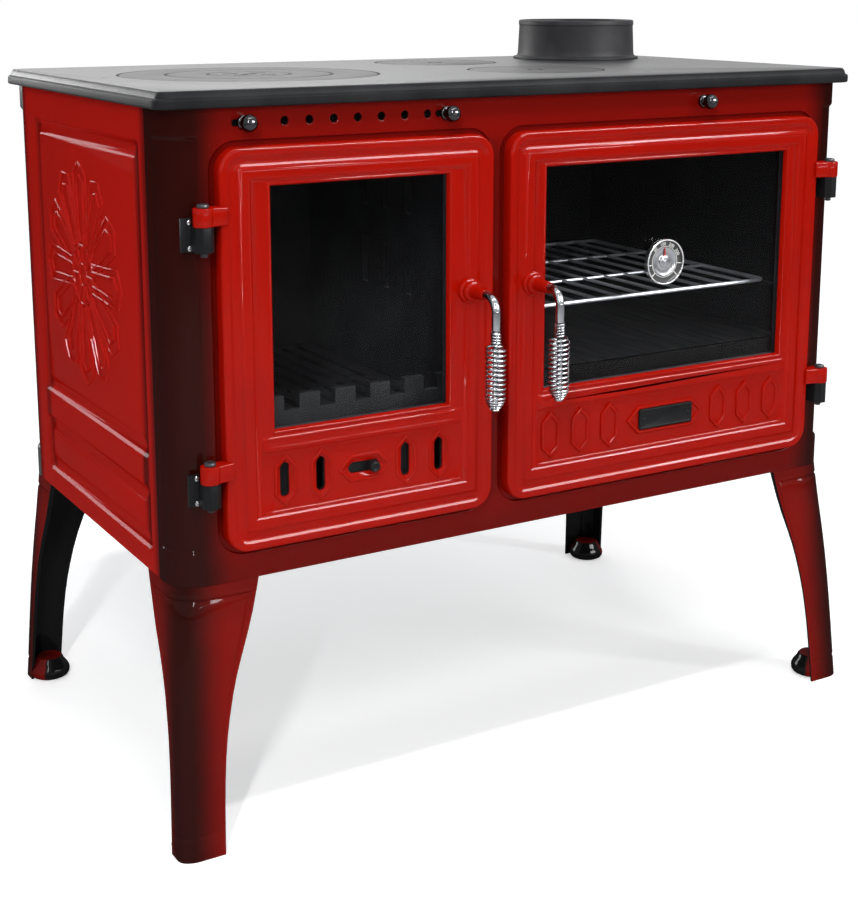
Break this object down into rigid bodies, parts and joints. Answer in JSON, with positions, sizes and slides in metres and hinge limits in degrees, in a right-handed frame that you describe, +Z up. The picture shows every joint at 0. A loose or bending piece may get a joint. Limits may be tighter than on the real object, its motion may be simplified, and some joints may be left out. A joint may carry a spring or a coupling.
{
  "type": "wood-burning cookstove",
  "caption": "Enamelled cast-iron cookstove on four splayed legs, with a glazed fire door, a glazed oven door, coil-grip handles, lift-off hob lids and a flue collar.",
  "frame": {"origin": "on the floor, under the middle of the whole part, door handles and feet included", "axes": "+X to the right along the front, +Y from the front to the back, +Z up"},
  "size_m": [0.998, 0.6514, 0.9123],
  "materials": {
    "red_enamel": "glossy red vitreous enamel, darker where it thins at edges and hollows",
    "dark_enamel": "glossy dark red-brown vitreous enamel",
    "hob_iron": "bare, seasoned, satin",
    "black_iron": "matte black heat-proof paint",
    "sheet_steel": "dark rolled sheet",
    "chrome": "polished",
    "glass": "clear heat-proof glass",
    "rope": "woven glass-fibre rope",
    "dial_white": "satin",
    "needle_red": "satin"
  },
  "bodies": {
    "stove": {"front_casting": "dark_enamel", "back_casting": "black_iron", "left_side_panel": "red_enamel", "right_side_panel": "red_enamel", "base_plate": "black_iron", "hob_plate": "hob_iron", "flue_collar": "hob_iron", "leg_front_left": "red_enamel", "leg_front_right": "red_enamel", "leg_rear_left": "red_enamel", "leg_rear_right": "red_enamel", "firebox_left_liner": "black_iron", "firebox_right_liner": "black_iron", "firebox_back_liner": "black_iron", "fire_grate": "black_iron", "log_retainer": "black_iron", "oven_box": "sheet_steel", "smoke_partition": "sheet_steel", "fire_hinge_bracket_upper": "black_iron", "fire_hinge_bracket_lower": "black_iron", "fire_hinge_pin_upper": "black_iron", "fire_hinge_pin_lower": "black_iron", "oven_hinge_bracket_upper": "black_iron", "oven_hinge_bracket_lower": "black_iron", "oven_hinge_pin_upper": "black_iron", "oven_hinge_pin_lower": "black_iron"},
    "fire_door": {"fire_door_frame": "red_enamel", "fire_door_glass": "glass", "fire_glass_retainer": "black_iron", "fire_door_seal": "rope"},
    "fire_handle": {"fire_handle_rod": "chrome", "fire_handle_spring": "chrome", "fire_latch_cam": "sheet_steel"},
    "fire_register": {"fire_air_register": "black_iron", "fire_register_knob": "black_iron"},
    "oven_door": {"oven_door_frame": "red_enamel", "oven_door_glass": "glass", "oven_glass_retainer": "black_iron", "oven_door_seal": "rope", "oven_name_plate": "black_iron", "thermometer_case": "chrome", "thermometer_dial": "dial_white"},
    "oven_handle": {"oven_handle_rod": "chrome", "oven_handle_spring": "chrome", "oven_latch_cam": "sheet_steel"},
    "needle": {"thermometer_needle": "needle_red"},
    "air_control": {"air_slide": "sheet_steel", "air_knob_left": "chrome", "air_knob_right": "chrome"},
    "damper": {"damper_plate": "sheet_steel", "damper_rod": "sheet_steel", "damper_knob": "chrome"},
    "outer_ring": {"large_hob_ring": "hob_iron"},
    "inner_ring": {"small_hob_ring": "hob_iron"},
    "centre_cover": {"centre_lid": "hob_iron"},
    "rear_cover": {"rear_lid": "hob_iron"},
    "front_cover": {"front_lid": "hob_iron"},
    "drawer": {"ash_drawer": "sheet_steel"},
    "rack": {"oven_rack": "chrome"}
  },
  "joints": [
    {"name": "fire_door_hinge", "type": "hinge", "parent": "stove", "child": "fire_door", "pos_m": [-0.446, -0.25825, 0.57], "axis": [0, 0, -1], "range_deg": [0, 110]},
    {"name": "oven_door_hinge", "type": "hinge", "parent": "stove", "child": "oven_door", "pos_m": [0.446, -0.25825, 0.57], "axis": [0, 0, 1], "range_deg": [0, 110]},
    {"name": "fire_handle_turn", "type": "hinge", "parent": "fire_door", "child": "fire_handle", "pos_m": [-0.115, -0.25825, 0.614], "axis": [0, 1, 0], "range_deg": [0, 80]},
    {"name": "oven_handle_turn", "type": "hinge", "parent": "oven_door", "child": "oven_handle", "pos_m": [-0.026, -0.25825, 0.614], "axis": [0, -1, 0], "range_deg": [0, 80]},
    {"name": "fire_register_slide", "type": "slide", "parent": "fire_door", "child": "fire_register", "axis": [-1, 0, 0], "range_m": [0, 0.02]},
    {"name": "needle_turn", "type": "hinge", "parent": "oven_door", "child": "needle", "pos_m": [0.1755, -0.254, 0.622], "axis": [0, 1, 0], "range_deg": [-130, 130]},
    {"name": "air_control_slide", "type": "slide", "parent": "stove", "child": "air_control", "axis": [-1, 0, 0], "range_m": [0, 0.01]},
    {"name": "damper_slide", "type": "slide", "parent": "stove", "child": "damper", "axis": [0, -1, 0], "range_m": [0, 0.09]},
    {"name": "outer_ring_lift", "type": "slide", "parent": "stove", "child": "outer_ring", "axis": [0, 0, 1], "range_m": [0, 0.1]},
    {"name": "inner_ring_lift", "type": "slide", "parent": "outer_ring", "child": "inner_ring", "axis": [0, 0, 1], "range_m": [0, 0.1]},
    {"name": "centre_cover_lift", "type": "slide", "parent": "inner_ring", "child": "centre_cover", "axis": [0, 0, 1], "range_m": [0, 0.1]},
    {"name": "rear_cover_lift", "type": "slide", "parent": "stove", "child": "rear_cover", "axis": [0, 0, 1], "range_m": [0, 0.1]},
    {"name": "front_cover_lift", "type": "slide", "parent": "stove", "child": "front_cover", "axis": [0, 0, 1], "range_m": [0, 0.1]},
    {"name": "drawer_slide", "type": "slide", "parent": "stove", "child": "drawer", "axis": [0, -1, 0], "range_m": [0, 0.2112]},
    {"name": "rack_slide", "type": "slide", "parent": "stove", "child": "rack", "axis": [0, -1, 0], "range_m": [0, 0.1728]}
  ],
  "couplings": [
    {"joint": "drawer_slide", "follows": "fire_door_hinge", "m_per_rad": 0.11},
    {"joint": "rack_slide", "follows": "oven_door_hinge", "m_per_rad": 0.09}
  ]
}
